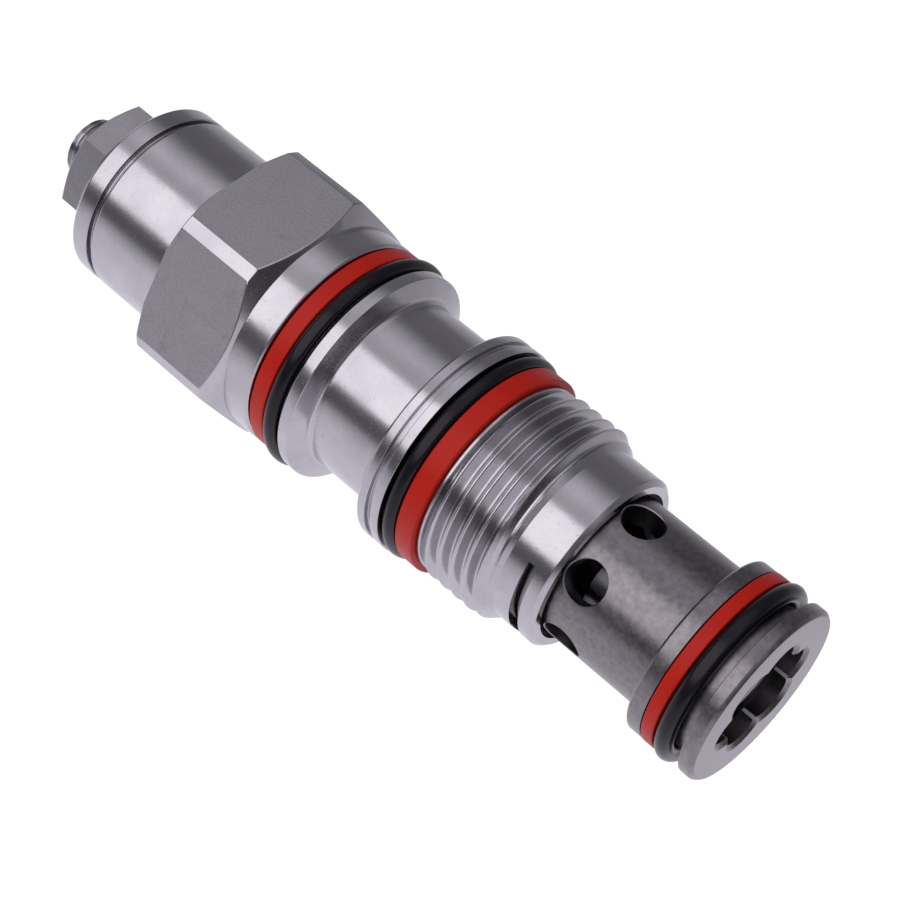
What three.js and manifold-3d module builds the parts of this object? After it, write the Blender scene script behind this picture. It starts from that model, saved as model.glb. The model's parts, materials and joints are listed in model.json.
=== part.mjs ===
// A screw-in counterbalance cartridge valve with three ports, in millimetres, +Z up.
//
// The valve lies along X with its nose towards +X, and one wrench flat faces down. The origin is on
// the axis, halfway between the two ends. Every piece is turned about that axis, so each is drawn in
// a frame whose Y runs along the valve from the hexagon's collar, and the group at the end lays that
// frame down along X.
import * as THREE from "three";
import { mergeVertices } from "three/addons/utils/BufferGeometryUtils.js";
import Module from "manifold-3d";

const wasm = await Module();
wasm.setup();

// Driving dimensions.
const INCH = 25.4;
const HEX_FLATS = 1.125 * INCH;
const THREAD_RADIUS = INCH / 2;
const THREAD_PITCH = INCH / 14;
const LAND_RADIUS = 13.75;
const BONNET_RADIUS = 11.65;
const SKIRT_RADIUS = 11.15;
const SLEEVE_RADIUS = 9.1;
const NOSE_RADIUS = 11.15;
const CHAMBER_RADIUS = 9;
const LOCKNUT_FLATS = 0.5625 * INCH;
const SCREW_RADIUS = 4;
const SOCKET_FLATS = 0.15625 * INCH;

// Clearances: between pieces that slide or turn, and between faces that rest on each other.
const RUNNING = 0.1;
const RESTING = 0.05;
const EDGE = 0.3;

// Facets round the large pieces, the small ones and the wires.
const ROUND = 36;
const SMALL_ROUND = 24;
const WIRE_ROUND = 6;
const WIRE_STEPS_PER_TURN = 14;

// Stations along the axis, from the collar's front face. Each length leads to the next station.
const collarBack = -3.9;
const hexFront = collarBack - 1.4;
const hexBack = collarBack - 12.8;
const bonnetBack = hexBack - 12.65;
const capBack = bonnetBack - 3.65;
const gland1End = 4.7;
const land1End = gland1End + 1.7;
const neckStart = land1End + 1.2;
const land2Start = neckStart + 9.75;
const land2End = land2Start + 3.35;
const gland2End = land2End + 4.65;
const threadEnd = gland2End + 10.3;
const skirtEnd = threadEnd + 5.5;
const holesAt = skirtEnd + 2.4;
const noseStart = skirtEnd + 13.3;
const gland3Start = noseStart + 2.05;
const gland3End = gland3Start + 5.2;
const noseTip = gland3End + 1.8;

// Bores inside the body.
const CHAMBER_FLOOR = 3;
const PISTON_RADIUS = 5.5;
const STEM_RADIUS = 4;
const pilotHolesAt = (neckStart + land2Start) / 2;
const stepAt = pilotHolesAt + 2;
const SLEEVE_SOCKET_RADIUS = 9.7;
const socketFloor = 32;
const retainerAt = threadEnd + 2.95;
const RETAINER_WIDTH = 0.9;

// The check ring, and the station where the poppet's cone closes it.
const CHECK_SEAT_RADIUS = 4.25;
const CHECK_RADIUS = 7.5;
const seatAt = 47.1;

// ---------------------------------------------------------------- shapes

// An outline of [station, radius] pairs as a turned ring or solid. A ring's outline closes on itself.
function turned(outline, segments = ROUND) {
  const points = outline.map(([station, radius]) => new THREE.Vector2(radius, station));
  const onAxis = outline[0][1] === 0;
  if (!onAxis) points.push(points[0].clone());
  return new THREE.LatheGeometry(points, segments);
}

// Points of a circular arc in an outline, about [station, radius], between two angles in degrees.
function arc(station, radius, size, from, to, steps) {
  const points = [];
  for (let i = 0; i <= steps; i++) {
    const angle = THREE.MathUtils.degToRad(from + ((to - from) * i) / steps);
    points.push([station + size * Math.cos(angle), radius + size * Math.sin(angle)]);
  }
  return points;
}

// A square-sectioned ring between two stations and two radii.
function ring(start, end, inner, outer, segments = ROUND) {
  const outline = [
    [start, inner],
    [start, outer],
    [end, outer],
    [end, inner],
  ];
  return turned(outline, segments);
}

// A round-sectioned seal ring whose section is centred at a station and a radius.
function sealRing(station, radius, section, segments = ROUND, around = 8) {
  const geometry = new THREE.TorusGeometry(radius, section / 2, around, segments);
  return geometry.rotateX(Math.PI / 2).translate(0, station, 0);
}

// A hexagonal bar between two stations, with a flat facing each way along Z.
function hexBar(start, end, flats) {
  const corner = flats / 2 / Math.cos(Math.PI / 6);
  const geometry = new THREE.CylinderGeometry(corner, corner, end - start, 6, 1, false, Math.PI / 6);
  return geometry.translate(0, (start + end) / 2, 0);
}

// A round bar that runs outwards from the axis at a station, turned from the top by an angle.
function radialBar(station, degrees, radius, length, segments) {
  const geometry = new THREE.CylinderGeometry(radius, radius, length, segments);
  geometry.translate(0, length / 2, 0).rotateX(Math.PI / 2);
  return geometry.rotateY(THREE.MathUtils.degToRad(degrees)).translate(0, station, 0);
}

// A bar parallel to the axis and standing off it.
function offsetBar(start, end, degrees, offset, radius, segments) {
  const geometry = new THREE.CylinderGeometry(radius, radius, end - start, segments);
  geometry.translate(0, (start + end) / 2, offset);
  return geometry.rotateY(THREE.MathUtils.degToRad(degrees));
}

// A coil spring's wire, wound between the stations of its end coils' centres.
class Helix extends THREE.Curve {
  constructor(start, end, radius, turns) {
    super();
    Object.assign(this, { start, end, radius, turns });
  }
  getPoint(t, target = new THREE.Vector3()) {
    const angle = 2 * Math.PI * this.turns * t;
    const station = this.start + (this.end - this.start) * t;
    return target.set(this.radius * Math.sin(angle), station, this.radius * Math.cos(angle));
  }
}

function coil(start, end, radius, wire, turns) {
  const section = new THREE.Shape();
  for (let i = 0; i < WIRE_ROUND; i++) {
    const angle = (2 * Math.PI * i) / WIRE_ROUND;
    const point = [(wire / 2) * Math.cos(angle), (wire / 2) * Math.sin(angle)];
    if (i === 0) section.moveTo(...point);
    else section.lineTo(...point);
  }
  section.closePath();
  return new THREE.ExtrudeGeometry(section, {
    steps: Math.round(turns * WIRE_STEPS_PER_TURN),
    extrudePath: new Helix(start, end, radius, turns),
    bevelEnabled: false,
  });
}

// ---------------------------------------------------------------- booleans

function solid(geometry) {
  const bare = geometry.clone();
  bare.deleteAttribute("normal");
  bare.deleteAttribute("uv");
  const merged = mergeVertices(bare, 1e-4);
  return new wasm.Manifold(
    new wasm.Mesh({
      numProp: 3,
      vertProperties: merged.attributes.position.array,
      triVerts: new Uint32Array(merged.index.array),
    }),
  );
}

function geometryOf(manifold) {
  const { vertProperties, triVerts } = manifold.getMesh();
  const geometry = new THREE.BufferGeometry();
  geometry.setAttribute("position", new THREE.BufferAttribute(vertProperties, 3));
  geometry.setIndex(new THREE.BufferAttribute(triVerts, 1));
  geometry.computeVertexNormals();
  return geometry;
}

function cut(base, tools) {
  return tools.reduce((left, tool) => left.subtract(solid(tool)), solid(base));
}

// ---------------------------------------------------------------- body

// The thread as rings of its own section, with the flat crest and the root at their real depth.
function threadOutline(start, end) {
  const root = THREAD_RADIUS - 0.6134 * THREAD_PITCH;
  const crest = THREAD_PITCH / 8;
  const flank = (THREAD_PITCH * 7) / 16;
  const points = [];
  for (let middle = start; middle + crest < end; middle += THREAD_PITCH) {
    points.push([middle - crest / 2, THREAD_RADIUS]);
    points.push([middle + crest / 2, THREAD_RADIUS]);
    if (middle + THREAD_PITCH + crest < end) points.push([middle + crest / 2 + flank, root]);
  }
  return points;
}

function bodyOutline() {
  const turnedCorner = 16.03;
  const gland1Core = 12.25;
  const gland2Core = 11.7;
  const slot = [land2Start + 1.35, land2Start + 2.15];
  const fillet = 0.6;
  return [
    [bonnetBack, CHAMBER_RADIUS],
    [bonnetBack, BONNET_RADIUS - EDGE],
    [bonnetBack + EDGE, BONNET_RADIUS],
    [hexBack, BONNET_RADIUS],
    [hexBack, turnedCorner - 1.3],
    [hexBack + 0.75, turnedCorner],
    [hexFront, turnedCorner],
    [collarBack, LAND_RADIUS],
    [-EDGE, LAND_RADIUS],
    [0, LAND_RADIUS - EDGE],
    [0, gland1Core],
    [gland1End, gland1Core],
    [gland1End, LAND_RADIUS - EDGE],
    [gland1End + EDGE, LAND_RADIUS],
    [land1End, LAND_RADIUS],
    [neckStart - EDGE, SKIRT_RADIUS + fillet],
    ...arc(neckStart + fillet / 2, SKIRT_RADIUS + fillet, fillet, 210, 270, 2),
    ...arc(land2Start - fillet, SKIRT_RADIUS + fillet, fillet, 270, 360, 2),
    [land2Start, LAND_RADIUS - EDGE],
    [land2Start + EDGE, LAND_RADIUS],
    [slot[0], LAND_RADIUS],
    [slot[0], LAND_RADIUS - 0.6],
    [slot[1], LAND_RADIUS - 0.6],
    [slot[1], LAND_RADIUS],
    [land2End, LAND_RADIUS],
    [land2End, gland2Core],
    [gland2End, gland2Core],
    [gland2End, THREAD_RADIUS - EDGE],
    [gland2End + 0.45, THREAD_RADIUS - EDGE],
    [gland2End + 0.6, gland2Core],
    ...threadOutline(gland2End + 1.15, threadEnd - 0.6),
    [threadEnd, SKIRT_RADIUS],
    [skirtEnd - 0.55, SKIRT_RADIUS],
    [skirtEnd, SKIRT_RADIUS - 0.55],
    ...boreOutline(),
  ];
}

// The stepped bore, from the skirt's mouth back to the spring chamber's floor.
function boreOutline() {
  const groove = [retainerAt - RETAINER_WIDTH / 2 - RUNNING, retainerAt + RETAINER_WIDTH / 2 + RUNNING];
  const pistonBore = PISTON_RADIUS + RUNNING;
  const stemBore = STEM_RADIUS + RUNNING;
  return [
    [skirtEnd, SLEEVE_SOCKET_RADIUS],
    [groove[1], SLEEVE_SOCKET_RADIUS],
    [groove[1], SLEEVE_SOCKET_RADIUS + 0.55],
    [groove[0], SLEEVE_SOCKET_RADIUS + 0.55],
    [groove[0], SLEEVE_SOCKET_RADIUS],
    [socketFloor, SLEEVE_SOCKET_RADIUS],
    [socketFloor, stemBore],
    [stepAt, stemBore],
    [stepAt, pistonBore],
    [CHAMBER_FLOOR, pistonBore],
    [CHAMBER_FLOOR, CHAMBER_RADIUS],
  ];
}

// The slot that the sleeve's retaining wire is fed through, cut by a disc from the -Y side.
function wireSlot() {
  const cutterRadius = 7;
  const reach = 6.5;
  const width = 1.3;
  return offsetBar(retainerAt - width / 2, retainerAt + width / 2, 90, reach, cutterRadius, ROUND);
}

function body() {
  const pilotHoleRadius = 1.2;
  const pilotHoles = [180, 240].map((degrees) =>
    radialBar(pilotHolesAt, degrees, pilotHoleRadius, LAND_RADIUS, 12),
  );
  const blank = turned(bodyOutline());
  const flats = hexBar(capBack, skirtEnd + 1, HEX_FLATS);
  return geometryOf(cut(blank, [...pilotHoles, wireSlot()]).intersect(solid(flats)));
}

// ---------------------------------------------------------------- adjuster

// The cap that closes the bonnet: its plug is screwed into the spring chamber.
function endCap() {
  const joint = bonnetBack - RESTING;
  const plugFront = bonnetBack + 3.75;
  const bore = SCREW_RADIUS + RUNNING;
  return turned([
    [capBack, bore],
    [capBack, BONNET_RADIUS - 0.75],
    [capBack + 0.75, BONNET_RADIUS],
    [joint - 0.55, BONNET_RADIUS],
    [joint - 0.55, BONNET_RADIUS - 0.75],
    [joint, BONNET_RADIUS - 0.75],
    [joint, CHAMBER_RADIUS - RUNNING],
    [plugFront, CHAMBER_RADIUS - RUNNING],
    [plugFront, bore],
  ]);
}

function locknut() {
  const front = capBack - RESTING;
  const back = front - 6;
  const bore = SCREW_RADIUS + RUNNING;
  const corner = LOCKNUT_FLATS / 2 / Math.cos(Math.PI / 6);
  const chamfer = 0.6;
  const blank = turned([
    [back, bore],
    [back, corner - 2 * chamfer],
    [back + chamfer, corner],
    [front - chamfer, corner],
    [front, corner - 2 * chamfer],
    [front, bore],
  ]);
  return geometryOf(solid(blank).intersect(solid(hexBar(back - 1, front + 1, LOCKNUT_FLATS))));
}

const screwFront = CHAMBER_FLOOR - 27;
const screwBack = capBack - 10;

function adjustingScrew() {
  const socketDepth = 4;
  const dogPoint = SCREW_RADIUS - 1;
  const bar = turned(
    [
      [screwBack, 0],
      [screwBack, SCREW_RADIUS - 0.5],
      [screwBack + 0.5, SCREW_RADIUS],
      [screwFront - 2.5, SCREW_RADIUS],
      [screwFront - 1.5, dogPoint],
      [screwFront - RESTING, dogPoint],
      [screwFront - RESTING, 0],
    ],
    SMALL_ROUND,
  );
  return geometryOf(cut(bar, [hexBar(screwBack - 1, screwBack + socketDepth, SOCKET_FLATS)]));
}

// The plunger that the screw pushes along the chamber. Its groove holds the seal.
const rearSeatFace = screwFront + 7;
const seatBoss = 4.9;

function rearSpringSeat() {
  const guide = CHAMBER_RADIUS - 0.15;
  const groove = [screwFront + 1.8, screwFront + 4.1];
  const boss = rearSeatFace + 3.5;
  return turned(
    [
      [screwFront, 0],
      [screwFront, guide - 0.5],
      [screwFront + 0.5, guide],
      [groove[0], guide],
      [groove[0], guide - 1.8],
      [groove[1], guide - 1.8],
      [groove[1], guide],
      [rearSeatFace, guide],
      [rearSeatFace, seatBoss],
      [boss, seatBoss - 0.4],
      [boss, 0],
    ],
    ROUND,
  );
}

// ---------------------------------------------------------------- poppet stack

const frontSeatFace = CHAMBER_FLOOR - 3.2;

function frontSpringSeat() {
  const disc = CHAMBER_RADIUS - 0.4;
  const boss = frontSeatFace - 3.3;
  return turned(
    [
      [boss, 0],
      [boss, seatBoss - 0.4],
      [frontSeatFace, seatBoss],
      [frontSeatFace, disc],
      [CHAMBER_FLOOR - RESTING, disc],
      [CHAMBER_FLOOR - RESTING, 0],
    ],
    SMALL_ROUND,
  );
}

const pistonGroove = [CHAMBER_FLOOR + 2.2, CHAMBER_FLOOR + 5.4];
const stemGroove = [21, 22.8];
const stemFront = socketFloor - 1.6;
const spigotRadius = 2;

function pilotPiston() {
  const shoulder = pilotHolesAt - 2;
  const spigotSocket = stemFront - 3.9;
  return turned(
    [
      [CHAMBER_FLOOR, 0],
      [CHAMBER_FLOOR, PISTON_RADIUS - 0.4],
      [CHAMBER_FLOOR + 0.4, PISTON_RADIUS],
      [pistonGroove[0], PISTON_RADIUS],
      [pistonGroove[0], PISTON_RADIUS - 1.6],
      [pistonGroove[1], PISTON_RADIUS - 1.6],
      [pistonGroove[1], PISTON_RADIUS],
      [shoulder, PISTON_RADIUS],
      [shoulder, STEM_RADIUS],
      [stemGroove[0], STEM_RADIUS],
      [stemGroove[0], STEM_RADIUS - 1.4],
      [stemGroove[1], STEM_RADIUS - 1.4],
      [stemGroove[1], STEM_RADIUS],
      [stemFront, STEM_RADIUS],
      [stemFront, spigotRadius + RUNNING],
      [spigotSocket, spigotRadius + RUNNING],
      [spigotSocket, 0],
    ],
    SMALL_ROUND,
  );
}

// The relief poppet, with a spigot in the piston's end and a cone that closes on the check's bore.
function poppet() {
  const tailStart = stemFront - 3.7;
  const head = 5;
  const tip = CHECK_SEAT_RADIUS - 0.85;
  const coneStart = seatAt - (head - CHECK_SEAT_RADIUS) - 0.1;
  return turned(
    [
      [tailStart, 0],
      [tailStart, spigotRadius],
      [stemFront + RESTING, spigotRadius],
      [stemFront + RESTING, STEM_RADIUS - 0.2],
      [stemFront + 7.6, STEM_RADIUS - 0.2],
      [stemFront + 8.6, spigotRadius + 0.8],
      [coneStart - 4.4, spigotRadius + 0.8],
      [coneStart - 3.6, head],
      [coneStart, head],
      [coneStart + head - tip, tip],
      [coneStart + head - tip, 0],
    ],
    SMALL_ROUND,
  );
}

// ---------------------------------------------------------------- nose

const checkFront = seatAt + 5.4;
const ribsAt = noseTip - 2.2;

function checkPoppet() {
  return turned(
    [
      [seatAt, CHECK_SEAT_RADIUS],
      [seatAt, CHECK_RADIUS - 0.5],
      [seatAt + 0.5, CHECK_RADIUS],
      [checkFront, CHECK_RADIUS],
      [checkFront, CHECK_RADIUS - 2.2],
      [seatAt + 1.7, CHECK_RADIUS - 2.2],
      [seatAt + 1.1, CHECK_SEAT_RADIUS],
    ],
    SMALL_ROUND,
  );
}

// The cone that flares an offset hole's mouth at a station, at 45 degrees.
function flaredMouth(station, degrees, offset, radius, flare, segments) {
  const geometry = new THREE.CylinderGeometry(radius + 2 * flare, radius, 2 * flare, segments);
  geometry.translate(0, station, offset);
  return geometry.rotateY(THREE.MathUtils.degToRad(degrees));
}

// The floating sleeve: six cross holes, a seal gland, and a nose opening of six flared lobes.
function sleeve() {
  const back = socketFloor + 1;
  const flange = SLEEVE_SOCKET_RADIUS - 0.15;
  const flangeFront = retainerAt - RETAINER_WIDTH / 2 - 4 * RUNNING;
  const bore = 6.4;
  const gland3Core = 9.4;
  const centreHole = 5.55;
  const holeRadius = 2.45;
  const lobeRadius = 2.62;
  const lobeOffset = 4.46;
  const flare = 0.45;
  const checkBore = CHECK_RADIUS + RUNNING;
  const blank = turned([
    [back, bore],
    [back, flange],
    [flangeFront, flange],
    [flangeFront, SLEEVE_RADIUS],
    [noseStart, SLEEVE_RADIUS],
    [noseStart, NOSE_RADIUS - EDGE],
    [noseStart + EDGE, NOSE_RADIUS],
    [gland3Start, NOSE_RADIUS],
    [gland3Start, gland3Core],
    [gland3End, gland3Core],
    [gland3End, NOSE_RADIUS],
    [noseTip - 0.5, NOSE_RADIUS],
    [noseTip, NOSE_RADIUS - 0.4],
    [noseTip, centreHole],
    [ribsAt, centreHole],
    [ribsAt, checkBore],
    [seatAt - 0.2, checkBore],
    [seatAt - 0.2, bore],
  ]);
  const tools = [];
  for (let i = 0; i < 6; i++) {
    const lobeTurn = 38 + 60 * i;
    tools.push(radialBar(holesAt, 46 + 60 * i, holeRadius, NOSE_RADIUS, 16));
    tools.push(offsetBar(ribsAt - 1, noseTip + 1, lobeTurn, lobeOffset, lobeRadius, 16));
    tools.push(flaredMouth(noseTip, lobeTurn, lobeOffset, lobeRadius, flare, 16));
  }
  return geometryOf(cut(blank, tools));
}

// The split wire in the body's groove that keeps the sleeve's flange from coming out.
function sleeveRetainer() {
  const start = retainerAt - RETAINER_WIDTH / 2;
  const whole = ring(start, start + RETAINER_WIDTH, SLEEVE_RADIUS + 0.15, SLEEVE_SOCKET_RADIUS + 0.45);
  const gap = new THREE.BoxGeometry(2, 3, 4).translate(0, retainerAt, -SLEEVE_SOCKET_RADIUS);
  return geometryOf(cut(whole, [gap]));
}

// ---------------------------------------------------------------- materials

function metal(color, roughness) {
  return new THREE.MeshStandardMaterial({ color, roughness, metalness: 1 });
}

function polymer(color, roughness) {
  return new THREE.MeshStandardMaterial({ color, roughness, metalness: 0 });
}

const zincSteel = () => metal(0xb9b7bb, 0.25);
const hardSteel = () => metal(0x6e6a6e, 0.4);
const groundSteel = () => metal(0xc8c8cc, 0.2);
const springSteel = () => metal(0x55565a, 0.35);
const nitrile = () => polymer(0x16151a, 0.35);
const redPolyurethane = () => polymer(0xc0261a, 0.4);

// ---------------------------------------------------------------- assembly

const valve = new THREE.Group();

function add(name, geometry, material) {
  const mesh = new THREE.Mesh(geometry, material);
  mesh.name = name;
  valve.add(mesh);
}

// A ring that fills a gland beside its seal, bedded on the gland's core.
function backup(start, end, core, outer, segments) {
  return ring(start, end, core + RESTING, outer, segments);
}

add("hex_body", body(), zincSteel());
add("end_cap", endCap(), zincSteel());
add("locknut", locknut(), zincSteel());
add("adjusting_screw", adjustingScrew(), zincSteel());
add("rear_spring_seat", rearSpringSeat(), groundSteel());
add("adjuster_o_ring", sealRing(screwFront + 2.95, 7.98, 1.75, ROUND, 6), nitrile());
add("main_spring", coil(rearSeatFace + 1.35, frontSeatFace - 1.35, 6.75, 2.5, 3.75), springSteel());
add("front_spring_seat", frontSpringSeat(), groundSteel());
add("pilot_piston", pilotPiston(), groundSteel());
add("piston_o_ring", sealRing(pistonGroove[0] + 0.85, 4.7, 1.45, SMALL_ROUND, 6), nitrile());
add(
  "piston_backup_ring",
  backup(pistonGroove[0] + 1.75, pistonGroove[1] - RUNNING, PISTON_RADIUS - 1.6, 5.45, SMALL_ROUND),
  redPolyurethane(),
);
add("stem_o_ring", sealRing(stemGroove[0] + 0.9, 3.3, 1.2, SMALL_ROUND, 6), nitrile());
add("relief_poppet", poppet(), groundSteel());
add("check_poppet", checkPoppet(), groundSteel());
add("check_spring", coil(checkFront + 0.45, ribsAt - 0.45, 6.35, 0.8, 4), springSteel());
add("nose_sleeve", sleeve(), hardSteel());
add("sleeve_retainer", sleeveRetainer(), springSteel());
add("collar_backup_ring", backup(0.35, 2.45, 12.25, 13.7), redPolyurethane());
add("collar_o_ring", sealRing(3.5, 13.24, 1.88), nitrile());
add("land_o_ring", sealRing(land2End + 1.03, 12.69, 1.88), nitrile());
add("land_backup_ring", backup(land2End + 2.05, gland2End - RUNNING, 11.7, 13.14), redPolyurethane());
add("nose_backup_ring", backup(gland3Start + RUNNING, gland3Start + 1.7, 9.4, 11.2), redPolyurethane());
add("nose_o_ring", sealRing(gland3Start + 2.8, 10.5, 2.1), nitrile());

// Y along the valve becomes +X, the top of each piece stays +Z, and the origin moves to mid-length.
valve.rotation.z = -Math.PI / 2;
valve.position.x = -(screwBack + noseTip) / 2;

const cartridgeValve = new THREE.Group();
cartridgeValve.add(valve);

export default cartridgeValve;
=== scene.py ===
# Looks of the screw-in cartridge valve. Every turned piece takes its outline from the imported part,
# and is turned again here with fine facets, soft edges, real threads, holes and finishes.
import json
import math

import bmesh
import bpy
from mathutils import Matrix, Vector, noise


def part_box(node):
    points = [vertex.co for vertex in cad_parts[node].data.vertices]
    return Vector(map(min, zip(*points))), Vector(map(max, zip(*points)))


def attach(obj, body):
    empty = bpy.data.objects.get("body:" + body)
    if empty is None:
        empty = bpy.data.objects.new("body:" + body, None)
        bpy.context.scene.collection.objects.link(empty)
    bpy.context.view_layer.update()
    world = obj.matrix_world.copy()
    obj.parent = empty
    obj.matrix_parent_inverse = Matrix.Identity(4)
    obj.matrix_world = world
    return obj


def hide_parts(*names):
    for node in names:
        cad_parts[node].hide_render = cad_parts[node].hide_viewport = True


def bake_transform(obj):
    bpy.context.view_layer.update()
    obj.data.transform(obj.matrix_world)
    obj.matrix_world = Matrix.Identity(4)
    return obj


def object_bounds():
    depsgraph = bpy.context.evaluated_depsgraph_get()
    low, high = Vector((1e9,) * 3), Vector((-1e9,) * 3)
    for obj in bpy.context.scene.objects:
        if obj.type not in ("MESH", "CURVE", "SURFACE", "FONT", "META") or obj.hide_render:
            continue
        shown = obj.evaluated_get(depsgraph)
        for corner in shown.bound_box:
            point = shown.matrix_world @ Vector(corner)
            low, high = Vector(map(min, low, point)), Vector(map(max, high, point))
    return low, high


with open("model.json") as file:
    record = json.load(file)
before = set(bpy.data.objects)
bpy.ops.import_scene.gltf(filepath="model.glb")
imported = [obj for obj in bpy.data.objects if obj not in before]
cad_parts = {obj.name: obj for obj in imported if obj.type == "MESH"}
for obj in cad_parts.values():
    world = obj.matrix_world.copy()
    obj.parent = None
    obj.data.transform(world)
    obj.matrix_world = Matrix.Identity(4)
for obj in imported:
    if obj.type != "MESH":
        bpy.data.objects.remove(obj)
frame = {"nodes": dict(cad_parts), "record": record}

cad_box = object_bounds()

# Everything is shaped in millimetres and laid down in metres. Angles are degrees from the top (+Z)
# towards the front (-Y), about the valve's axis X.
MM = 0.001
INCH = 25.4
MERGE = 0.002        # points nearer than this are one point
SOFT_EDGE = 0.14     # how far a broken edge reaches from its corner
ROUND_STEPS = 5      # facets across a broken edge
CREASE = 25          # an edge that turns more than this many degrees stays sharp
FINE_STEP = 1.5      # degrees between facets on large turned pieces
SMALL_STEP = 3       # and on small ones


def top_of(node):
    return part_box(node)[1] / MM


def bottom_of(node):
    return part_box(node)[0] / MM


def body_of(node):
    return next(b for b, nodes in frame["record"]["behaviour"]["bodies"].items() if node in nodes)


def slot_of(node):
    return next(s["material_slot"] for s in frame["record"]["subparts"] if s["node"] == node)


# ------------------------------------------------------------------ outlines

def outline_of(node, degrees=0):
    """The CAD node's outline at one angle, as (station, radius) pairs from its back to its front."""
    bm = bmesh.new()
    bm.from_mesh(frame["nodes"][node].data)
    bmesh.ops.scale(bm, vec=(1 / MM,) * 3, verts=bm.verts)
    bmesh.ops.remove_doubles(bm, verts=bm.verts, dist=MERGE)
    outward = Vector(point_at(0, 1, degrees))
    across = outward.cross(Vector((1, 0, 0)))
    parts = [*bm.verts, *bm.edges, *bm.faces]
    cut = bmesh.ops.bisect_plane(bm, geom=parts, dist=MERGE, plane_co=(0, 0, 0), plane_no=across)
    edges = [e for e in cut["geom_cut"] if isinstance(e, bmesh.types.BMEdge)]
    beside = {}
    for edge in edges:
        if min(v.co.dot(outward) for v in edge.verts) < -MERGE:
            continue
        ends = [(round(v.co.x, 3), max(0.0, round(v.co.dot(outward), 3))) for v in edge.verts]
        if ends[0] != ends[1] and ends[0][1] + ends[1][1] > 0:
            beside.setdefault(ends[0], set()).add(ends[1])
            beside.setdefault(ends[1], set()).add(ends[0])
    bm.free()
    return straightened(chained(beside))


def chained(beside):
    """Joins neighbouring points into one path, from the rearmost point outwards and forwards."""
    ends = [p for p, near in beside.items() if len(near) == 1]
    start = min(ends or beside)
    path = [start]
    step = max(beside[start], key=lambda p: p[1])
    while step != start:
        path.append(step)
        onward = [p for p in beside[step] if p != path[-2]]
        if not onward:
            break
        step = onward[0]
    return path


def is_ring(outline):
    return outline[0][1] > 0


def turn_at(before, here, after):
    """How far an outline turns at a point, in degrees."""
    first = Vector(here) - Vector(before)
    second = Vector(after) - Vector(here)
    if min(first.length, second.length) < MERGE:
        return 0.0
    return math.degrees(first.angle(second))


def straightened(outline):
    """The outline without the points that lie on a straight stretch."""
    kept = []
    for i, here in enumerate(outline):
        is_end = not is_ring(outline) and i in (0, len(outline) - 1)
        after = outline[(i + 1) % len(outline)]
        if is_end or turn_at(outline[i - 1], here, after) > 0.5:
            kept.append(here)
    return kept


def rounded(outline, size=SOFT_EDGE, closed=None):
    """The outline with each corner turned into a curve that starts and ends `size` away at most."""
    closed = is_ring(outline) if closed is None else closed
    points = []
    for i, here in enumerate(outline):
        if not closed and i in (0, len(outline) - 1):
            points.append(here)
            continue
        corner = Vector(here)
        back = Vector(outline[i - 1]) - corner
        on = Vector(outline[(i + 1) % len(outline)]) - corner
        back *= min(size, 0.45 * back.length) / max(back.length, 1e-9)
        on *= min(size, 0.45 * on.length) / max(on.length, 1e-9)
        for step in range(ROUND_STEPS + 1):
            t = step / ROUND_STEPS
            points.append(tuple(corner + back * (1 - t) ** 2 + on * t ** 2))
    return points


def bead(outline, count=32):
    """The round section that a faceted seal ring stands for."""
    centre = sum((Vector(p) for p in outline), Vector((0, 0))) / len(outline)
    size = max((Vector(p) - centre).length for p in outline)
    turns = [2 * math.pi * i / count for i in range(count)]
    return [(centre.x + size * math.cos(t), centre.y + size * math.sin(t)) for t in turns]


def slid(outline, index, step, limit):
    """The outline's point at index, moved along the outline until its radius is within the limit."""
    while outline[index + step][1] > limit:
        index += step
    here, there = Vector(outline[index]), Vector(outline[index + step])
    return tuple(here.lerp(there, (here.y - limit) / (here.y - there.y)))


def trimmed(outline, limit):
    """The outline with the points that stand out past a limit brought in along it."""
    high = [i for i, point in enumerate(outline) if point[1] > limit]
    points = list(outline)
    for i in high:
        rear_half = i < (high[0] + high[-1] + 1) / 2
        points[i] = slid(outline, i, -1 if rear_half else 1, limit)
    return points


def hexagon_radius(flats, degrees):
    """How far a hexagon's flat is from the axis at an angle. Its flats face the top and bottom."""
    off_flat = (degrees + 30) % 60 - 30
    return flats / 2 / math.cos(math.radians(off_flat))


def thread_radius(station, degrees, crest, outer, pitch):
    """A right-handed thread's radius: flat crests and 60 degree flanks, averaged over a soft edge."""
    spread = [-0.06, -0.03, 0.0, 0.03, 0.06]
    depth = 0.6134 * pitch
    total = 0.0
    for shift in spread:
        turns = (station + shift * pitch - crest) / pitch - degrees / 360
        off_crest = abs((turns + 0.5) % 1 - 0.5) * pitch
        total += min(max((off_crest - pitch / 16) * math.sqrt(3), 0.0), depth)
    return outer - total / len(spread)


# ------------------------------------------------------------------ meshes

def point_at(station, radius, degrees):
    angle = math.radians(degrees)
    return (station, -radius * math.sin(angle), radius * math.cos(angle))


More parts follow.
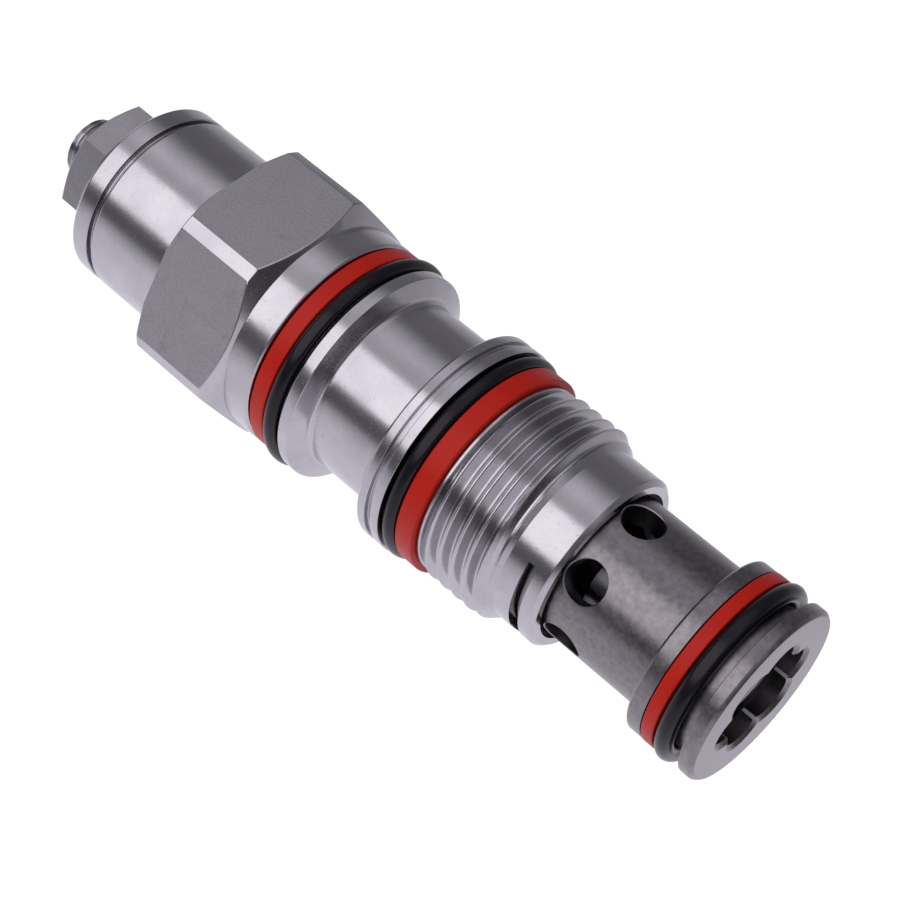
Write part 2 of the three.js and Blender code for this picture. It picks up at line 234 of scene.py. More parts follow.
def skin(name, loops, loop_closed=True, row_closed=False):
    """A closed mesh through a row of loops of points. Open ends of the row are capped."""
    count = len(loops[0])
    points = [p for loop in loops for p in loop]
    faces = []
    for i in range(len(loops) if row_closed else len(loops) - 1):
        here = i * count
        there = (i + 1) % len(loops) * count
        for j in range(count if loop_closed else count - 1):
            k = (j + 1) % count
            faces.append((here + j, here + k, there + k, there + j))
    if not row_closed:
        faces.append(tuple(range(count)))
        faces.append(tuple(range(len(points) - count, len(points))))
    mesh = bpy.data.meshes.new(name)
    mesh.from_pydata(points, [], faces)
    bm = bmesh.new()
    bm.from_mesh(mesh)
    bmesh.ops.remove_doubles(bm, verts=bm.verts, dist=MERGE / 4)
    bmesh.ops.recalc_face_normals(bm, faces=bm.faces)
    bm.to_mesh(mesh)
    bm.free()
    piece = bpy.data.objects.new(name, mesh)
    bpy.context.scene.collection.objects.link(piece)
    return piece


def spaced(start, end, step):
    """Evenly spaced angles from start to end. A full turn leaves out its last angle."""
    count = max(1, round((end - start) / step))
    angles = [start + (end - start) * i / count for i in range(count + 1)]
    return angles[:-1] if end - start == 360 else angles


def turned(name, shape, angles, whole=True):
    """A turned piece. The shape is an outline, or a function of the angle that gives one."""
    outline_at = shape if callable(shape) else lambda degrees: shape
    loops = [[point_at(x, r, a) for x, r in outline_at(a)] for a in angles]
    return skin(name, loops, is_ring(outline_at(angles[0])), whole)


def wire_loops(path, size, count=20):
    """The rounds of a wire's surface along a path of points, for skin() to close with flat ends."""
    loops = []
    for i, here in enumerate(path):
        ahead = (path[min(i + 1, len(path) - 1)] - path[max(i - 1, 0)]).normalized()
        across = ahead.cross(Vector((0, here.y, here.z))).normalized()
        outward = across.cross(ahead)
        turns = [2 * math.pi * j / count for j in range(count)]
        loops.append([here + (outward * math.cos(t) + across * math.sin(t)) * size for t in turns])
    return loops


def carved(piece, *cutters):
    """Cuts the cutters out of the piece, one after another, and removes them."""
    for cutter in cutters:
        modifier = piece.modifiers.new("cut", "BOOLEAN")
        modifier.object = cutter
        modifier.operation = "DIFFERENCE"
        modifier.solver = "EXACT"
        bpy.context.view_layer.update()
        evaluated = piece.evaluated_get(bpy.context.evaluated_depsgraph_get())
        mesh = bpy.data.meshes.new_from_object(evaluated)
        piece.modifiers.clear()
        piece.data = mesh
        bpy.data.objects.remove(cutter)
    return piece


def radial_drill(station, degrees, size, surface, inner, chamfer=0.12):
    """A drill that stands on the axis and leaves a chamfer where it breaks through the surface."""
    count = 64
    out = Vector(point_at(0, 1, degrees))
    side = Vector((1, 0, 0)).cross(out)
    level = [
        (size, lambda h: inner),
        (size, lambda h: h - chamfer),
        (size + 3 * chamfer, lambda h: h + 2 * chamfer),
        (size + 3 * chamfer, lambda h: surface + 2),
    ]
    loops = []
    for radius, height in level:
        loop = []
        for i in range(count):
            turn = 2 * math.pi * i / count
            across = radius * math.sin(turn)
            skin_height = math.sqrt(surface ** 2 - (size / radius * across) ** 2)
            along = station + radius * math.cos(turn)
            loop.append(Vector((along, 0, 0)) + side * across + out * height(skin_height))
        loops.append(loop)
    return skin("drill", loops)


def laid_down(piece, node, crease=CREASE):
    """Brings a finished shape into the frame, in place of its CAD node and with that node's finish."""
    piece.data.transform(Matrix.Scale(MM, 4))
    if not piece.data.materials:
        piece.data.materials.append(LOOKS[slot_of(node)])
    piece.data.shade_smooth()
    piece.data.set_sharp_from_angle(angle=math.radians(crease))
    normals = piece.modifiers.new("even_normals", "WEIGHTED_NORMAL")
    normals.keep_sharp = True
    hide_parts(node)
    return piece


def placed(piece, node, crease=CREASE):
    """A shape laid down and moving with its CAD node's body."""
    laid_down(piece, node, crease)
    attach(piece, body_of(node))
    return piece


# ------------------------------------------------------------------ materials

class Nodes:
    """A node tree, with short calls to add nodes. A value that is a socket gets linked."""

    def __init__(self, tree):
        self.tree = tree
        tree.nodes.clear()
        self.place = self.add("ShaderNodeTexCoord").outputs["Object"]

    def add(self, kind, settings=None, **inputs):
        made = self.tree.nodes.new(kind)
        for key, value in (settings or {}).items():
            setattr(made, key, value)
        for key, value in inputs.items():
            slot = made.inputs[int(key[1:]) if key[0] == "_" else key.replace("_", " ")]
            if isinstance(value, bpy.types.NodeSocket):
                self.tree.links.new(value, slot)
            else:
                slot.default_value = value
        return made

    def math(self, operation, a, b=0.0):
        return self.add("ShaderNodeMath", {"operation": operation}, _0=a, _1=b).outputs[0]

    def spread(self, value, low, high):
        """A value from 0 to 1 spread from low to high."""
        return self.math("ADD", low, self.math("MULTIPLY", value, high - low))

    def noise(self, size_mm, detail=4.0, roughness=0.55):
        scale = 1 / (size_mm * MM)
        made = self.add(
            "ShaderNodeTexNoise", Vector=self.place, Scale=scale, Detail=detail, Roughness=roughness
        )
        return made.outputs["Fac"]

    def turning_lines(self, size_mm):
        """Fine marks that run round the axis, on cylinders and on end faces alike."""
        split = self.add("ShaderNodeSeparateXYZ", Vector=self.place)
        y, z = split.outputs["Y"], split.outputs["Z"]
        square = self.math("ADD", self.math("MULTIPLY", y, y), self.math("MULTIPLY", z, z))
        along = self.math("ADD", split.outputs["X"], self.math("SQRT", square))
        made = self.add(
            "ShaderNodeTexNoise",
            {"noise_dimensions": "1D"},
            W=along,
            Scale=1 / (size_mm * MM),
            Detail=3.0,
        )
        return made.outputs["Fac"]

    def step(self, value, low, high):
        """0 where a value is under low and 1 where it is over high."""
        made = self.add("ShaderNodeMapRange", Value=value, From_Min=low, From_Max=high)
        return made.outputs["Result"]

    def mix(self, share, a, b):
        first = a if isinstance(a, bpy.types.NodeSocket) else (*a, 1)
        second = b if isinstance(b, bpy.types.NodeSocket) else (*b, 1)
        made = self.add("ShaderNodeMix", {"data_type": "RGBA"}, _0=share, _6=first, _7=second)
        return made.outputs[2]

    def bump(self, height, depth_mm, below=None):
        inputs = {"Normal": below} if below else {}
        made = self.add("ShaderNodeBump", Strength=1.0, Distance=depth_mm * MM, Height=height, **inputs)
        return made.outputs["Normal"]

    def surface(self, **inputs):
        shader = self.add("ShaderNodeBsdfPrincipled", **inputs)
        self.add("ShaderNodeOutputMaterial", Surface=shader.outputs["BSDF"])


def material(build):
    """A material whose nodes the function builds. It takes the function's name."""
    made = bpy.data.materials.new(build.__name__)
    made.use_nodes = True
    build(Nodes(made.node_tree))
    return made


def plated_steel(n):
    """Bright zinc plate over turned steel, with fine turning marks, faint clouds and small pits."""
    clouds = n.noise(5.0, 5.0)
    pits = n.step(n.noise(0.35, 3.0), 0.60, 0.72)
    colour = n.mix(n.step(clouds, 0.35, 0.65), (0.49, 0.48, 0.50), (0.43, 0.42, 0.445))
    colour = n.mix(n.math("MULTIPLY", pits, 0.25), colour, (0.25, 0.24, 0.25))
    rough = n.math("ADD", n.spread(clouds, 0.13, 0.25), n.math("MULTIPLY", pits, 0.12))
    normal = n.bump(n.turning_lines(0.10), 0.0012)
    normal = n.bump(n.noise(0.5), 0.004, normal)
    normal = n.bump(n.noise(3.5, 2.0), 0.012, normal)
    n.surface(Base_Color=colour, Metallic=1.0, Roughness=rough, Normal=normal)


def drawn_steel(n):
    """The hexagon's flats: cold-drawn steel under zinc, with a fine matt grain."""
    grain = n.noise(0.26, 7.0, 0.72)
    colour = n.mix(n.noise(4.0), (0.41, 0.40, 0.428), (0.49, 0.48, 0.503))
    colour = n.mix(n.math("MULTIPLY", n.step(grain, 0.42, 0.70), 0.55), colour, (0.22, 0.21, 0.225))
    stains = n.math("MULTIPLY", n.step(n.noise(2.6, 6.0, 0.7), 0.56, 0.70), 0.45)
    colour = n.mix(stains, colour, (0.27, 0.255, 0.26))
    rough = n.spread(grain, 0.30, 0.54)
    n.surface(Base_Color=colour, Metallic=1.0, Roughness=rough, Normal=n.bump(grain, 0.032))


def hardened_steel(n):
    """The nose sleeve: turned and heat-treated, dark grey, mottled, with a faint brown cast."""
    mottle = n.noise(0.7, 5.0, 0.6)
    colour = n.mix(n.step(mottle, 0.3, 0.7), (0.155, 0.148, 0.155), (0.265, 0.25, 0.26))
    colour = n.mix(n.math("MULTIPLY", n.noise(6.0), 0.35), colour, (0.21, 0.19, 0.195))
    normal = n.bump(n.turning_lines(0.16), 0.003)
    normal = n.bump(mottle, 0.006, normal)
    normal = n.bump(n.noise(0.14, 3.0), 0.004, normal)
    n.surface(Base_Color=colour, Metallic=1.0, Roughness=n.spread(mottle, 0.23, 0.35), Normal=normal)


def faced_steel(n):
    """The sleeve's end face, turned after heat treatment, and so lighter than the rest of it."""
    mottle = n.noise(0.5, 4.0)
    colour = n.mix(mottle, (0.375, 0.365, 0.378), (0.455, 0.447, 0.46))
    normal = n.bump(n.turning_lines(0.14), 0.002)
    n.surface(Base_Color=colour, Metallic=1.0, Roughness=n.spread(mottle, 0.44, 0.54), Normal=normal)


def painted_light_tip_steel(n):
    """The tips of the ridges in the sleeve's opening, painted much lighter than the rest of the sleeve's
    steel: painted light, standing in for the light that the room's dark ends leave off them.
    """
    mottle = n.noise(0.5, 4.0)
    colour = n.mix(mottle, (0.60, 0.59, 0.60), (0.70, 0.69, 0.70))
    normal = n.bump(n.turning_lines(0.14), 0.002)
    n.surface(Base_Color=colour, Metallic=1.0, Roughness=n.spread(mottle, 0.52, 0.62), Normal=normal)


def painted_shade_bore_steel(n):
    """The sleeve's bores and the walls of its holes, painted nearly black as painted shade, for the
    little light that reaches into them.
    """
    mottle = n.noise(0.6, 4.0)
    colour = n.mix(mottle, (0.09, 0.085, 0.09), (0.15, 0.14, 0.145))
    normal = n.bump(n.noise(0.3), 0.003)
    n.surface(Base_Color=colour, Metallic=1.0, Roughness=n.spread(mottle, 0.30, 0.42), Normal=normal)


def ground_steel(n):
    """Ground and hardened working faces inside the valve, painted very dark as painted shade, for the
    dim inside that shows through the holes.
    """
    clouds = n.noise(3.0, 3.0)
    colour = n.mix(clouds, (0.11, 0.11, 0.115), (0.08, 0.08, 0.085))
    normal = n.bump(n.turning_lines(0.06), 0.001)
    n.surface(Base_Color=colour, Metallic=1.0, Roughness=n.spread(clouds, 0.20, 0.32), Normal=normal)


def spring_wire(n):
    """Oiled spring wire, dark, with faint drawing marks."""
    clouds = n.noise(1.5)
    colour = n.mix(clouds, (0.16, 0.16, 0.17), (0.30, 0.29, 0.29))
    normal = n.bump(n.noise(0.2), 0.003)
    n.surface(Base_Color=colour, Metallic=1.0, Roughness=n.spread(clouds, 0.22, 0.37), Normal=normal)


def nitrile(n):
    """Oiled black rubber with a fine matt grain and a little dust."""
    dust = n.step(n.noise(0.5, 3.0), 0.62, 0.75)
    colour = n.mix(n.math("MULTIPLY", dust, 0.10), (0.006, 0.005, 0.007), (0.07, 0.07, 0.08))
    normal = n.bump(n.noise(0.15), 0.003)
    rough = n.spread(n.noise(1.2), 0.16, 0.28)
    n.surface(Base_Color=colour, Roughness=rough, Specular_IOR_Level=0.25, Normal=normal)


def red_polyurethane(n):
    """Moulded red polyurethane, satin, with faint lighter clouds."""
    clouds = n.noise(2.5, 3.0)
    n.surface(
        Base_Color=n.mix(clouds, (0.39, 0.009, 0.003), (0.47, 0.013, 0.004)),
        Roughness=n.spread(clouds, 0.34, 0.48),
        Specular_IOR_Level=0.18,
        Normal=n.bump(n.noise(0.25), 0.003),
    )


LOOKS = {
    "zinc_steel": material(plated_steel),
    "hard_steel": material(hardened_steel),
    # ground_steel's very dark colour is painted shade for the valve's dim inside
    "ground_steel": material(ground_steel),
    "spring_steel": material(spring_wire),
    "black_nitrile": material(nitrile),
    "red_polyurethane": material(red_polyurethane),
}


# ------------------------------------------------------------------ hex body

HEX_FLATS = top_of("hex_body").z * 2
INTACT_ANGLE = 30              # through a corner of the hexagon, where no hole or flat cuts the outline
THREAD_PITCH = INCH / 14
THREAD_RADIUS = INCH / 2
CREST_TOLERANCE = 0.02
ROWS_PER_PITCH = 36
THREAD_START_SLOPE = 1.4
SKIRT_RADIUS = top_of("nose_sleeve").z
DRILL_DEPTH_RADIUS = 5         # how near the axis the drills stop, inside the bores
PILOT_HOLE_RADIUS = 1.2
PILOT_HOLE_TURNS = (180, 240)

body_outline = outline_of("hex_body", INTACT_ANGLE)
skirt_end = max(x for x, r in body_outline)
crest_points = [i for i, (x, r) in enumerate(body_outline) if abs(r - THREAD_RADIUS) < CREST_TOLERANCE]


def body_shape():
    """The body's outline as a function of the angle: hexagon flats and a helical thread on it."""
    mouth = next(i for i, (x, r) in enumerate(body_outline) if x > skirt_end - MERGE)
    behind = body_outline[: crest_points[0]]
    ahead = body_outline[crest_points[-1] + 1 : mouth + 1]
    bore = body_outline[mouth + 1 :]
    groove = behind[-1]
    last_crest = body_outline[crest_points[-1]]
    crest = (body_outline[crest_points[0]][0] + body_outline[crest_points[1]][0]) / 2
    length = ahead[0][0] - groove[0]
    rows = round(length / THREAD_PITCH * ROWS_PER_PITCH)
    stations = [groove[0] + length * i / rows for i in range(1, rows)]
    end_slope = (last_crest[1] - ahead[0][1]) / (ahead[0][0] - last_crest[0])

    def thread_at(station, degrees):
        rise = groove[1] + THREAD_START_SLOPE * (station - groove[0])
        fall = ahead[0][1] + end_slope * (ahead[0][0] - station)
        thread = thread_radius(station, degrees, crest, THREAD_RADIUS, THREAD_PITCH)
        return min(rise, fall, thread)

    def outline_at(degrees):
        limit = hexagon_radius(HEX_FLATS, degrees)
        rear = rounded(trimmed(behind, limit), closed=False)
        thread = [(x, thread_at(x, degrees)) for x in stations]
        return rear + thread + rounded(ahead, closed=False) + bore

    return outline_at


def hex_angles():
    """Angles with columns just where the hexagon's flats meet its turned corners."""
    corner = max(r for x, r in body_outline)
    half_flat = math.degrees(math.acos(HEX_FLATS / 2 / corner))
    angles = []
    for middle in range(0, 360, 60):
        angles += spaced(middle - half_flat, middle + half_flat, FINE_STEP)[:-1]
        angles += spaced(middle + half_flat, middle + 60 - half_flat, FINE_STEP)[:-1]
    return angles


def pilot_drills():
    """The two holes in the neck, which join the pilot port to the piston."""
    thread_start = body_outline[crest_points[0]][0]
    neck = [x for x, r in body_outline if abs(r - SKIRT_RADIUS) < MERGE and x < thread_start]
    middle = (min(neck) + max(neck)) / 2
    return [
        radial_drill(middle, degrees, PILOT_HOLE_RADIUS, SKIRT_RADIUS, DRILL_DEPTH_RADIUS)
        for degrees in PILOT_HOLE_TURNS
    ]


SLOT_HALF_WIDTH = 0.65
SLOT_RAGGED = 0.16
SLOT_CUTTER_RADIUS = 7
SLOT_CUTTER_REACH = 6.5        # how far in front of the axis the cutter's own centre stands


def wire_slot():
    """The disc that cuts the slot for the sleeve's retaining wire, a little ragged at its faces."""
    retainer = (top_of("sleeve_retainer").x + bottom_of("sleeve_retainer").x) / 2
    loops = []
    for side in (-1, 1):
        loop = []
        for degrees in spaced(0, 360, FINE_STEP):
            ragged = SLOT_RAGGED * noise.noise(Vector((degrees / 4, 9 * side, 0)))
            station = retainer + side * (SLOT_HALF_WIDTH + ragged)
            x, y, z = point_at(station, SLOT_CUTTER_RADIUS, degrees)
            loop.append((x, y - SLOT_CUTTER_REACH, z))
        loops.append(loop)
    return skin("slot_cutter", loops)


def paint_flats(piece):
    """Gives the wrench flats their own drawn finish."""
    piece.data.materials.append(LOOKS["zinc_steel"])
    piece.data.materials.append(material(drawn_steel))
    for face in piece.data.polygons:
        for flat in range(0, 360, 60):
            normal = Vector(point_at(0, 1, flat))
            on_flat = abs(face.center.dot(normal) - HEX_FLATS / 2) < MERGE
            if on_flat and face.normal.dot(normal) > 0.9999:
                face.material_index = 1


hex_body = turned("hex_body_fine", body_shape(), hex_angles())
carved(hex_body, *pilot_drills(), wire_slot())
paint_flats(hex_body)
placed(hex_body, "hex_body")


# ------------------------------------------------------------------ adjuster end

SCREW_PITCH = 1.0
SCREW_ROWS_PER_PITCH = 16
SCREW_END_SLOPE = 1.2
SOCKET_FLATS = INCH * 5 / 32
SOCKET_CHAMFER = (0.25, 0.2)   # its depth and its width
LOCKNUT_FLATS = top_of("locknut").z * 2


def locknut():
    outline = outline_of("locknut", INTACT_ANGLE)

    def outline_at(degrees):
        return rounded(trimmed(outline, hexagon_radius(LOCKNUT_FLATS, degrees)))

    return turned("locknut_fine", outline_at, spaced(0, 360, FINE_STEP))


def adjusting_screw():
    """The set screw: a real thread outside, and a hexagon socket in its back end."""
    outline = outline_of("adjusting_screw", 0)
    outer = max(r for x, r in outline)
    back = min(x for x, r in outline)
    front = max(x for x, r in outline if r > outer - MERGE)
    socket_floor = outline[0][0]
    nose = [p for p in outline if p[0] > front + MERGE]
    rim = max(p for p in outline if p[0] == back)
    rows = round((front - back) / SCREW_PITCH * SCREW_ROWS_PER_PITCH)
    stations = [back + (front - back) * i / rows for i in range(1, rows + 1)]

    def outline_at(degrees):
        socket = hexagon_radius(SOCKET_FLATS, degrees)
        deep, wide = SOCKET_CHAMFER
        bottom = [(socket_floor, 0.0), (socket_floor, socket)]
        inside = bottom + [(back + deep, socket), (back, socket + wide)]
        thread = []
        for x in stations:
            chamfer = rim[1] + SCREW_END_SLOPE * (x - back)
            thread.append((x, min(chamfer, thread_radius(x, degrees, back, outer, SCREW_PITCH))))
        return inside + [rim] + thread + nose

    return turned("adjusting_screw_fine", outline_at, spaced(0, 360, SMALL_STEP))


def plain(node, size=SOFT_EDGE, step=SMALL_STEP):
    """A turned piece with nothing but soft edges."""
    return turned(node + "_fine", rounded(outline_of(node), size), spaced(0, 360, step))


placed(locknut(), "locknut")
placed(adjusting_screw(), "adjusting_screw")
placed(plain("end_cap", step=FINE_STEP), "end_cap")
placed(plain("rear_spring_seat"), "rear_spring_seat")


# ------------------------------------------------------------------ seals

BACKUP_RING_EDGE = 0.22


def seal_ring(node):
    return turned(node + "_fine", bead(outline_of(node)), spaced(0, 360, SMALL_STEP / 2))


for name in [s["node"] for s in frame["record"]["subparts"]]:
    if name.endswith("_o_ring"):
        placed(seal_ring(name), name)
    if name.endswith("_backup_ring"):
        placed(plain(name, size=BACKUP_RING_EDGE, step=FINE_STEP), name)


# ------------------------------------------------------------------ working parts

for name in ("front_spring_seat", "pilot_piston", "relief_poppet", "check_poppet"):
    placed(plain(name), name)


RETAINER_EDGE = 0.25
RETAINER_HALF_GAP = 6


def sleeve_retainer():
    """The split wire ring that holds the sleeve in the skirt."""
    return turned(
        "sleeve_retainer_fine",
        rounded(outline_of("sleeve_retainer"), RETAINER_EDGE),
        spaced(180 + RETAINER_HALF_GAP, 540 - RETAINER_HALF_GAP, FINE_STEP),
        whole=False,
    )


placed(sleeve_retainer(), "sleeve_retainer")


# ------------------------------------------------------------------ springs

END_PITCH = 1.2                # an end coil's pitch, in wire thicknesses
END_TURNS = 0.75
COIL_STEPS = 60
MAIN_WIRE = 1.24               # wire radius
MAIN_OPEN_TURNS = 2.25
CHECK_WIRE = 0.39
CHECK_OPEN_TURNS = 2.5


def coil_loops(node, size, open_turns):
    """A coil spring's wire, with nearly closed end coils. The CAD coil sets its length and radius."""
    start = bottom_of(node).x + size
    end = top_of(node).x - size
    radius = top_of(node).z - size
    end_pitch = END_PITCH * 2 * size
    open_pitch = (end - start - 2 * END_TURNS * end_pitch) / open_turns
    total = 2 * END_TURNS + open_turns
    steps = round(total * COIL_STEPS)
    path = []
    station = start
    for i in range(steps + 1):
        turns = total * i / steps
        path.append(Vector(point_at(station, radius, 360 * turns)))
        at_end = min(turns, total - turns) < END_TURNS
        station += (end_pitch if at_end else open_pitch) * total / steps
    return wire_loops(path, size)


def stretched(piece, node):
    """A length of spring, laid down in place of its CAD node, with its place baked into its mesh."""
    laid_down(piece, node)
    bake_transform(piece)


def main_spring():
    """The adjusting spring, in two halves that meet at mid-length; both of its ends move."""
    loops = coil_loops("main_spring", MAIN_WIRE, MAIN_OPEN_TURNS)
    half = len(loops) // 2
    rear_half = skin("main_spring_rear_half", loops[: half + 1])
    stretched(rear_half, "main_spring")
    front_half = skin("main_spring_front_half", loops[half:])
    stretched(front_half, "main_spring")


def check_spring():
    """The light spring behind the check ring, between the ring and the sleeve."""
    piece = skin("check_spring_fine", coil_loops("check_spring", CHECK_WIRE, CHECK_OPEN_TURNS))
    stretched(piece, "check_spring")


main_spring()
check_spring()


# ------------------------------------------------------------------ nose sleeve

SLEEVE_RADIUS = 9.1
WALL_CHAMFER = 0.2
CROSS_HOLE_TURN = 46
CROSS_HOLE_RADIUS = 2.45
HOLES_AHEAD_OF_SKIRT = 2.4
LOBES = 6
LOBE_TURN = 38
LOBE_RADIUS = 2.62
LOBE_OFFSET = 4.46
LOBE_FLARE = 0.45
LOBE_STEP = 2
RIDGE_TIPS = 5.55              # the radius that the ridges between the lobes are bored to
CUSP_TURN = 70                 # through a ridge, where the outline holds the whole end wall


def lobe_cutter(rear, face):
    """A bar of six rounded lobes, each of which flares at 45 degrees from a little behind the face."""
    flare_start = face - LOBE_FLARE
    loops = []
    apart = 360 / LOBES
    for station in (rear, flare_start, face - LOBE_FLARE / 2, face, face + LOBE_FLARE):
        size = LOBE_RADIUS + max(0, station - flare_start)
        loop = []
        for degrees in spaced(0, 360, LOBE_STEP):
            off = math.radians((degrees - LOBE_TURN + apart / 2) % apart - apart / 2)
            across = LOBE_OFFSET * math.sin(off)
            reach = LOBE_OFFSET * math.cos(off) + math.sqrt(size ** 2 - across ** 2)
            loop.append(point_at(station, reach, degrees))
        loops.append(loop)
    return skin("lobes", loops)


def nose_sleeve():
    """The sleeve, turned from its outline with a plain bore, then drilled and cut to six lobes."""
    outline = outline_of("nose_sleeve", CUSP_TURN)
    face = max(x for x, r in outline)
    ridge = min(r for x, r in outline)
    ridge_start = outline.index(min(p for p in outline if p[1] == ridge))
    ribs = outline[ridge_start][0]
    rim = max(i for i, (x, r) in enumerate(outline) if x == face and r > SLEEVE_RADIUS)
    holes = skirt_end + HOLES_AHEAD_OF_SKIRT
    blank = outline[: rim + 1] + [(face, RIDGE_TIPS), (ribs, RIDGE_TIPS)] + outline[ridge_start + 1 :]
    piece = turned("nose_sleeve_fine", rounded(blank), spaced(0, 360, FINE_STEP))
    drills = [
        radial_drill(holes, CROSS_HOLE_TURN + turn, CROSS_HOLE_RADIUS, SLEEVE_RADIUS, DRILL_DEPTH_RADIUS)
        for turn in range(0, 360, 60)
    ]
    return carved(piece, *drills, lobe_cutter(ribs - 1, face))


def paint_sleeve(piece):
    """Gives the end face a lighter finish of its own, the bores and hole walls a painted shade, and the
    ridges' tips a painted light.
    """
    piece.data.materials.append(LOOKS["hard_steel"])
    for look in (faced_steel, painted_shade_bore_steel, painted_light_tip_steel):
        piece.data.materials.append(material(look))
    tip = top_of("nose_sleeve").x
    for face in piece.data.polygons:
        radius = math.hypot(face.center.y, face.center.z)
        on_end = face.normal.x > 0.99 and face.center.x > tip - SOFT_EDGE
        if on_end:
            face.material_index = 1
        # the ridges' tips take the painted light colour
        elif radius < RIDGE_TIPS + MERGE:
            face.material_index = 3
        # the bores and the walls of the holes take the painted shade colour
        elif radius < SLEEVE_RADIUS - WALL_CHAMFER and face.normal.x < 0.5:
            face.material_index = 2


sleeve = nose_sleeve()
paint_sleeve(sleeve)
placed(sleeve, "nose_sleeve")


# ------------------------------------------------------------------ studio

# The softbox stands forward of overhead by KEY_LEAN and spans KEY_SPREAD about the axis, in degrees.
# Its distance and length, and the floor's half size, are in metres.
KEY_LEAN = 37
KEY_DISTANCE = 0.45
KEY_SPREAD = 49
KEY_LENGTH = 1.3
KEY_RADIANCE = 1.05
KEY_TINT = (1.0, 0.955, 1.0)
ROOM_TINT = (0.98, 0.95, 1.05)
ROOM_END = (0.06, 0.058, 0.065)
END_STARTS, END_FULL = 0.82, 0.95
FLOOR_SIZE = 6.0

# How bright the room is at angles about the axis: 0 is the top, 90 the front and -90 the rear.
ROOM_REAR = [(-121, 0.85), (-109, 0.5), (-88, 0.22), (-48, 0.18), (-38, 0.36), (-28, 0.62)]
ROOM_OVERHEAD = [(-15, 0.82), (2, 0.58), (62, 0.6)]
ROOM_FRONT = [(67, 0.12), (84, 0.12), (91, 0.42), (101, 0.78), (121, 0.93), (150, 0.84)]


def room(n, toward):
    """The room as the metal sees it: levels by the angle about the axis, and dark at both ends."""
    unit = n.add("ShaderNodeVectorMath", {"operation": "NORMALIZE"}, _0=toward).outputs[0]
    split = n.add("ShaderNodeSeparateXYZ", Vector=unit)
    angle = n.math("ARCTAN2", n.math("MULTIPLY", split.outputs["Y"], -1.0), split.outputs["Z"])
    ramp = n.add("ShaderNodeValToRGB", Fac=n.math("ADD", 0.5, n.math("DIVIDE", angle, 2 * math.pi)))
    levels = ROOM_REAR + ROOM_OVERHEAD + ROOM_FRONT
    elements = ramp.color_ramp.elements
    while len(elements) < len(levels):
        elements.new(0.5)
    for element, (degrees, level) in zip(elements, levels):
        element.position = 0.5 + degrees / 360
        element.color = (*(level * tint for tint in ROOM_TINT), 1)
    ends = n.step(n.math("ABSOLUTE", split.outputs["X"]), END_STARTS, END_FULL)
    colour = n.mix(ends, ramp.outputs["Color"], ROOM_END)
    seen = n.add("ShaderNodeLightPath").outputs["Is Camera Ray"]
    return n.mix(seen, colour, (1.0, 1.0, 1.0))


def from_axis(n):
    """The floor's direction as the nearest point of the valve's axis sees it."""
    split = n.add("ShaderNodeSeparateXYZ", Vector=n.place)
    limits = {"Min": bottom_of("adjusting_screw").x * MM, "Max": top_of("nose_sleeve").x * MM}
    nearest = n.add("ShaderNodeClamp", Value=split.outputs["X"], **limits).outputs[0]
    beyond = n.math("SUBTRACT", split.outputs["X"], nearest)
    made = n.add("ShaderNodeCombineXYZ", X=beyond, Y=split.outputs["Y"], Z=split.outputs["Z"])
    return made.outputs[0]


def studio_floor():
    """A white floor. The metal sees it fade with distance, more so behind the valve."""
    level = cad_box[0].z
    mesh = bpy.data.meshes.new("floor")
    sides = ((-1, -1), (1, -1), (1, 1), (-1, 1))
    corners = [(x * FLOOR_SIZE, y * FLOOR_SIZE, level) for x, y in sides]
    mesh.from_pydata(corners, [], [(0, 1, 2, 3)])
    floor = bpy.data.objects.new("floor", mesh)
    bpy.context.scene.collection.objects.link(floor)

    def pale_floor(n):
        n.surface(
            Base_Color=(0.12, 0.12, 0.12, 1),
            Roughness=0.8,
            Specular_IOR_Level=0.0,
            Emission_Color=room(n, from_axis(n)),
            Emission_Strength=1.0,
        )

    mesh.materials.append(material(pale_floor))


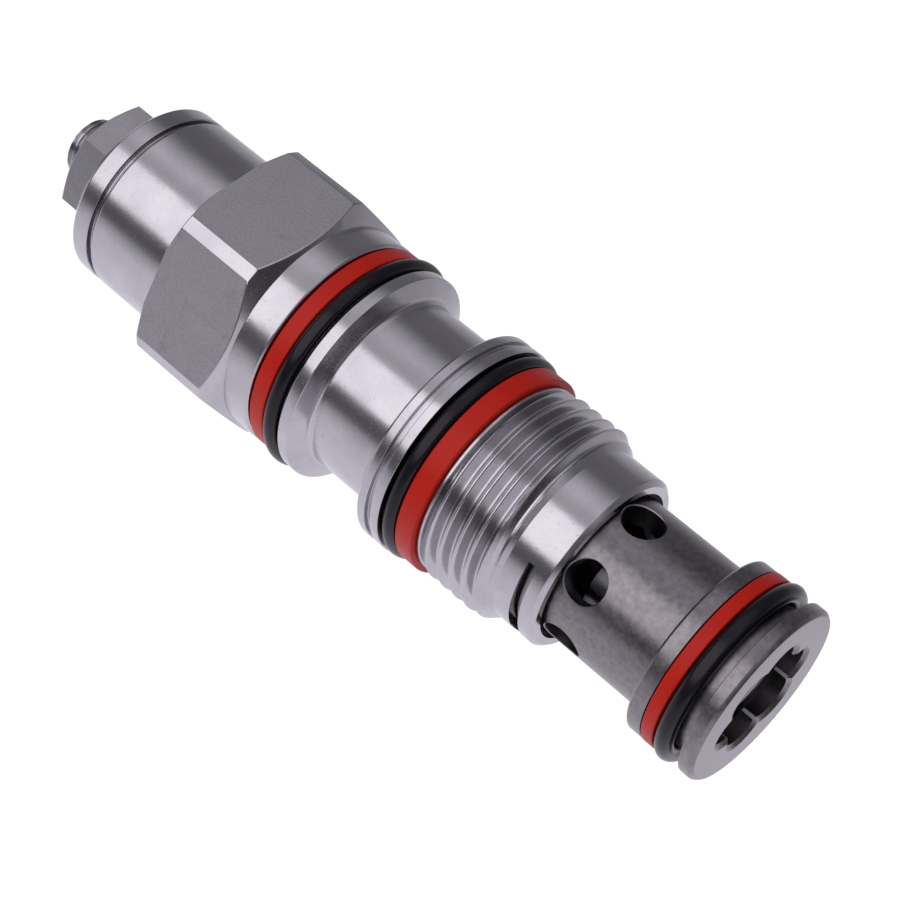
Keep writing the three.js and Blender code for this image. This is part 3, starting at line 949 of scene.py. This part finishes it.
def key_light():
    """A long softbox above and in front of the valve, which leaves the broad bright band on it."""
    data = bpy.data.lights.new("key", "AREA")
    data.shape = "RECTANGLE"
    data.size = KEY_LENGTH
    data.size_y = 2 * KEY_DISTANCE * math.tan(math.radians(KEY_SPREAD / 2))
    data.energy = KEY_RADIANCE * math.pi * data.size * data.size_y
    data.color = KEY_TINT
    lamp = bpy.data.objects.new("key", data)
    bpy.context.scene.collection.objects.link(lamp)
    direction = Vector(point_at(0, 1, KEY_LEAN))
    lamp.location = direction * KEY_DISTANCE
    lamp.rotation_euler = (math.radians(KEY_LEAN), 0, 0)
    lamp.visible_camera = False


def surroundings():
    """The world: white to the camera, and the room to everything else."""
    world = bpy.data.worlds.new("studio")
    bpy.context.scene.world = world
    world.use_nodes = True
    n = Nodes(world.node_tree)
    direction = n.add("ShaderNodeTexCoord").outputs["Generated"]
    background = n.add("ShaderNodeBackground", Color=room(n, direction))
    n.add("ShaderNodeOutputWorld", Surface=background.outputs["Background"])


# The camera's angles in degrees, and its place and lens in millimetres.
VIEW_LEAN, VIEW_SWING, VIEW_ROLL = 30.8, 22.42, 39.5
VIEW_DISTANCE = 226.5
VIEW_AHEAD_OF_NOSE = 48.9
VIEW_LENS = 88.48
VIEW_SHIFT = (-0.004911, -0.005956)   # shares of the frame's width


def camera():
    """The photo's view: from above the front, 22 degrees round towards the nose, and rolled."""
    lean, swing, roll = (math.radians(a) for a in (VIEW_LEAN, VIEW_SWING, VIEW_ROLL))
    above = Vector(point_at(0, 1, math.degrees(lean)))
    along = Vector((1, 0, 0))
    forward = -along * math.sin(swing) - above * math.cos(swing)
    level = along * math.cos(swing) - above * math.sin(swing)
    under = Vector((0, -math.cos(lean), -math.sin(lean)))
    right = level * math.cos(roll) - under * math.sin(roll)
    down = level * math.sin(roll) + under * math.cos(roll)
    data = bpy.data.cameras.new("camera")
    data.lens = VIEW_LENS
    data.shift_x, data.shift_y = VIEW_SHIFT
    data.clip_start = 0.01
    seat = bpy.data.objects.new("camera", data)
    bpy.context.scene.collection.objects.link(seat)
    turn = Matrix((right, -down, -forward)).transposed().to_4x4()
    place = along * (top_of("nose_sleeve").x + VIEW_AHEAD_OF_NOSE) + above * VIEW_DISTANCE
    seat.matrix_world = Matrix.Translation(place * MM) @ turn
    bpy.context.scene.camera = seat


studio_floor()
key_light()
surroundings()
camera()
bpy.context.scene.view_settings.view_transform = "Standard"
